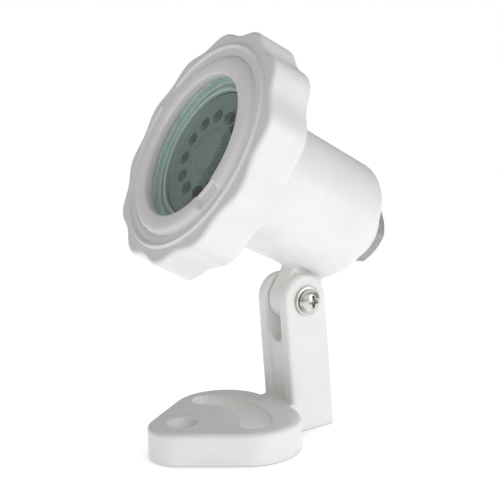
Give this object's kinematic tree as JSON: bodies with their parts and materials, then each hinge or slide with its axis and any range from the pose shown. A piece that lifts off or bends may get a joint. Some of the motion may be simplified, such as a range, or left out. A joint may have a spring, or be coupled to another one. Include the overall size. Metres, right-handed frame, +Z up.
{
  "type": "underwater pool light",
  "caption": "Round underwater pool spotlight with a scalloped screw ring and green glass, tilting on a clevis foot with a screw hole and an arc slot.",
  "frame": {"origin": "on the foot's underside, straight below the tilt axis and on the middle plane", "axes": "+Z up from the mounting surface; -Y is the way the light faces; +X is the side with the pivot screw's head"},
  "size_m": [0.0946, 0.1153, 0.1581],
  "materials": {
    "white_abs": "moulded white ABS, semi-gloss",
    "green_glass": "clear toughened glass with a green tint",
    "black_rubber": "matt black rubber",
    "pale_silicone": "milky silicone rubber",
    "clear_film": "milky slip film",
    "stainless": "bright stainless steel",
    "grey_nylon": "grey nylon, satin",
    "lamp_aluminium": "satin aluminium",
    "lens_plastic": "clear moulded lens plastic",
    "circuit_board": "green solder mask",
    "led_phosphor": "yellow phosphor",
    "ceramic": "off-white ceramic",
    "brass": "plated brass",
    "cable_pvc": "black PVC",
    "core_brown": "brown PVC",
    "core_blue": "blue PVC"
  },
  "bodies": {
    "bracket": {"base_bracket": "white_abs", "pivot_nut": "stainless", "pivot_nut_washer": "stainless"},
    "pivot_screw_washer": {"pivot_screw_washer": "stainless"},
    "pivot_screw": {"pivot_screw": "stainless"},
    "housing": {"lamp_housing": "white_abs", "front_glass": "green_glass", "cable_sheath": "cable_pvc", "glass_gasket": "pale_silicone", "lamp_retaining_ring": "white_abs", "lamp_shell": "lamp_aluminium", "lamp_lens_plate": "lens_plastic", "led_board": "circuit_board", "led_01": "led_phosphor", "led_02": "led_phosphor", "led_03": "led_phosphor", "led_04": "led_phosphor", "led_05": "led_phosphor", "led_06": "led_phosphor", "led_07": "led_phosphor", "led_08": "led_phosphor", "led_09": "led_phosphor", "led_10": "led_phosphor", "led_11": "led_phosphor", "led_12": "led_phosphor", "led_driver_board": "circuit_board", "lamp_base": "ceramic", "lamp_pin_left": "brass", "lamp_pin_right": "brass", "lamp_holder": "ceramic", "cable_core_brown": "core_brown", "cable_core_blue": "core_blue", "gland_seal": "black_rubber"},
    "slip_washer": {"glass_slip_washer": "clear_film"},
    "clamp_ring": {"clamp_ring": "white_abs"},
    "gland_washer": {"gland_washer": "clear_film"},
    "gland_nut": {"gland_nut": "grey_nylon"}
  },
  "joints": [
    {"name": "tilt", "type": "hinge", "parent": "bracket", "child": "housing", "pos_m": [0, 0, 0.0534], "axis": [-1, 0, 0], "range_deg": [-50, 64]},
    {"name": "ring_travel", "type": "slide", "parent": "housing", "child": "slip_washer", "axis": [0, -0.9041, 0.4274], "range_m": [0, 0.0088]},
    {"name": "ring_turn", "type": "hinge", "parent": "slip_washer", "child": "clamp_ring", "pos_m": [0, 0.01615, 0.08757], "axis": [0, -0.9041, 0.4274], "range_deg": [0, 900]},
    {"name": "gland_travel", "type": "slide", "parent": "housing", "child": "gland_washer", "axis": [0, 0.9041, -0.4274], "range_m": [0, 0.00305]},
    {"name": "gland_turn", "type": "hinge", "parent": "gland_washer", "child": "gland_nut", "pos_m": [0, 0.01615, 0.08757], "axis": [0, 0.9041, -0.4274], "range_deg": [0, 720]},
    {"name": "screw_travel", "type": "slide", "parent": "bracket", "child": "pivot_screw_washer", "axis": [1, 0, 0], "range_m": [0, 0.0016]},
    {"name": "screw_turn", "type": "hinge", "parent": "pivot_screw_washer", "child": "pivot_screw", "pos_m": [0, 0, 0.0534], "axis": [1, 0, 0], "range_deg": [0, 724]}
  ],
  "couplings": [
    {"joint": "ring_travel", "follows": "ring_turn", "m_per_rad": 0.00055704},
    {"joint": "gland_travel", "follows": "gland_turn", "m_per_rad": 0.00023873},
    {"joint": "screw_turn", "follows": "screw_travel", "rad_per_m": 7854}
  ]
}
